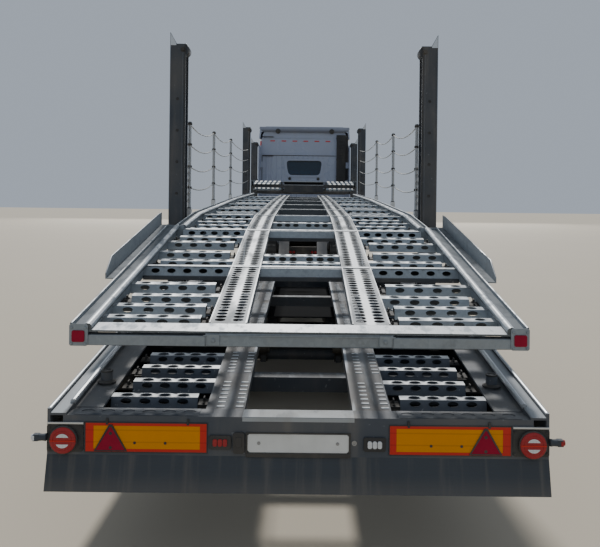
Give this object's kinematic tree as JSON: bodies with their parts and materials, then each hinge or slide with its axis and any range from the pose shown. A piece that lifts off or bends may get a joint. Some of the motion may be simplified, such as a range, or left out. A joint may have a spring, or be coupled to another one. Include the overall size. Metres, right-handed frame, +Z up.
{
  "type": "car transporter lorry",
  "caption": "Articulated car transporter: high-roof sleeper tractor with a two-deck car-carrying semi-trailer, perforated rungs and tracks, guide columns and lifting decks.",
  "frame": {"origin": "on the ground, in the middle of the lorry's length and width", "axes": "+Y forward, towards the cab's front; +X to the right; +Z up"},
  "size_m": [2.98, 16.5, 3.935],
  "materials": {
    "galvanised": "hot-dip galvanised, mottled",
    "chassis_paint": "dark blue-grey paint, worn",
    "cab_white": "white gloss paint",
    "black_plastic": "textured",
    "rubber": "dull",
    "tyre": "dull",
    "glass": "clear, slightly tinted",
    "lamp_red": "red lens",
    "lamp_clear": "clear lens",
    "marker_orange": "retroreflective",
    "plate_white": "blank plate",
    "forged_steel": "dark, oily",
    "tank_metal": "satin",
    "cab_trim": "dark grey trim"
  },
  "bodies": {
    "tractor": {"tractor_frame": "chassis_paint", "front_bumper": "cab_white", "headlamps": "lamp_clear", "front_axle": "forged_steel", "drive_axle": "forged_steel", "fifth_wheel": "forged_steel", "engine_block": "forged_steel", "fuel_tanks": "tank_metal", "fenders": "black_plastic"},
    "cab": {"cab_shell": "cab_white", "cab_glass": "glass", "grille": "black_plastic", "cab_fairings": "cab_white", "air_intake": "black_plastic", "mirrors": "black_plastic", "dashboard": "black_plastic", "seats": "cab_trim"},
    "door_left": {"door_left": "cab_white", "door_glass_left": "glass"},
    "door_right": {"door_right": "cab_white", "door_glass_right": "glass"},
    "knuckle_left": {"knuckle_left": "forged_steel"},
    "knuckle_right": {"knuckle_right": "forged_steel"},
    "front_wheel_left": {"front_wheel_left": "tyre"},
    "front_wheel_right": {"front_wheel_right": "tyre"},
    "drive_wheel_left": {"drive_wheel_left": "tyre"},
    "drive_wheel_right": {"drive_wheel_right": "tyre"},
    "trailer": {"trailer_rails": "chassis_paint", "coupling_plate": "forged_steel", "lower_crossbars": "chassis_paint", "side_beams": "chassis_paint", "lower_tracks": "chassis_paint", "lower_rungs": "chassis_paint", "rear_end_beam": "chassis_paint", "rear_flap": "rubber", "marker_boards": "marker_orange", "number_plate": "plate_white", "rear_lamps": "lamp_red", "deck_columns": "chassis_paint", "trailer_axles": "forged_steel", "trailer_mudguards": "black_plastic", "landing_legs": "chassis_paint", "side_guards": "tank_metal"},
    "trailer_wheel_rear_left": {"trailer_wheel_rear_left": "tyre"},
    "trailer_wheel_rear_right": {"trailer_wheel_rear_right": "tyre"},
    "trailer_wheel_front_left": {"trailer_wheel_front_left": "tyre"},
    "trailer_wheel_front_right": {"trailer_wheel_front_right": "tyre"},
    "deck_carriages": {"deck_carriages": "forged_steel"},
    "upper_deck": {"upper_beams": "galvanised", "upper_tracks": "galvanised", "upper_rungs": "galvanised", "upper_crossbars": "galvanised", "rope_posts": "galvanised"},
    "front_deck": {"front_deck_beams": "galvanised", "front_deck_tracks": "galvanised", "front_deck_rungs": "galvanised"}
  },
  "joints": [
    {"name": "trailer_pivot", "type": "hinge", "parent": "tractor", "child": "trailer", "pos_m": [0, 3.7, 1.1], "axis": [0, 0, 1], "range_deg": [-80, 80]},
    {"name": "upper_deck_lift", "type": "slide", "parent": "trailer", "child": "deck_carriages", "axis": [0, 0, 1], "range_m": [0, 0.45]},
    {"name": "upper_deck_tilt", "type": "hinge", "parent": "deck_carriages", "child": "upper_deck", "pos_m": [0, 1.885, 2.02942], "axis": [-1, 0, 0], "range_deg": [0, 8]},
    {"name": "front_deck_tilt", "type": "hinge", "parent": "trailer", "child": "front_deck", "pos_m": [0, 3.945, 2.18], "axis": [-1, 0, 0], "range_deg": [-4, 5]},
    {"name": "cab_tilt", "type": "hinge", "parent": "tractor", "child": "cab", "pos_m": [0, 8.15, 1.03], "axis": [-1, 0, 0], "range_deg": [0, 55]},
    {"name": "door_left_hinge", "type": "hinge", "parent": "cab", "child": "door_left", "pos_m": [-1.262, 7.827, 1.9], "axis": [0, 0, -1], "range_deg": [0, 75]},
    {"name": "door_right_hinge", "type": "hinge", "parent": "cab", "child": "door_right", "pos_m": [1.262, 7.827, 1.9], "axis": [0, 0, 1], "range_deg": [0, 75]},
    {"name": "steer_left", "type": "hinge", "parent": "tractor", "child": "knuckle_left", "pos_m": [-0.9, 6.83, 0.476], "axis": [0, 0, 1], "range_deg": [-35, 35]},
    {"name": "steer_right", "type": "hinge", "parent": "tractor", "child": "knuckle_right", "pos_m": [0.9, 6.83, 0.476], "axis": [0, 0, 1], "range_deg": [-35, 35]},
    {"name": "front_wheel_left_spin", "type": "hinge", "parent": "knuckle_left", "child": "front_wheel_left", "pos_m": [-1.1, 6.83, 0.476], "axis": [1, 0, 0], "continuous": true},
    {"name": "front_wheel_right_spin", "type": "hinge", "parent": "knuckle_right", "child": "front_wheel_right", "pos_m": [1.1, 6.83, 0.476], "axis": [1, 0, 0], "continuous": true},
    {"name": "drive_wheel_left_spin", "type": "hinge", "parent": "tractor", "child": "drive_wheel_left", "pos_m": [-1.1, 3.15, 0.476], "axis": [1, 0, 0], "continuous": true},
    {"name": "drive_wheel_right_spin", "type": "hinge", "parent": "tractor", "child": "drive_wheel_right", "pos_m": [1.1, 3.15, 0.476], "axis": [1, 0, 0], "continuous": true},
    {"name": "trailer_wheel_rear_left_spin", "type": "hinge", "parent": "trailer", "child": "trailer_wheel_rear_left", "pos_m": [-1.1, -4.85, 0.4], "axis": [1, 0, 0], "continuous": true},
    {"name": "trailer_wheel_rear_right_spin", "type": "hinge", "parent": "trailer", "child": "trailer_wheel_rear_right", "pos_m": [1.1, -4.85, 0.4], "axis": [1, 0, 0], "continuous": true},
    {"name": "trailer_wheel_front_left_spin", "type": "hinge", "parent": "trailer", "child": "trailer_wheel_front_left", "pos_m": [-1.1, -3.5, 0.4], "axis": [1, 0, 0], "continuous": true},
    {"name": "trailer_wheel_front_right_spin", "type": "hinge", "parent": "trailer", "child": "trailer_wheel_front_right", "pos_m": [1.1, -3.5, 0.4], "axis": [1, 0, 0], "continuous": true}
  ],
  "couplings": [
    {"joint": "steer_right", "follows": "steer_left", "ratio": 1}
  ]
}
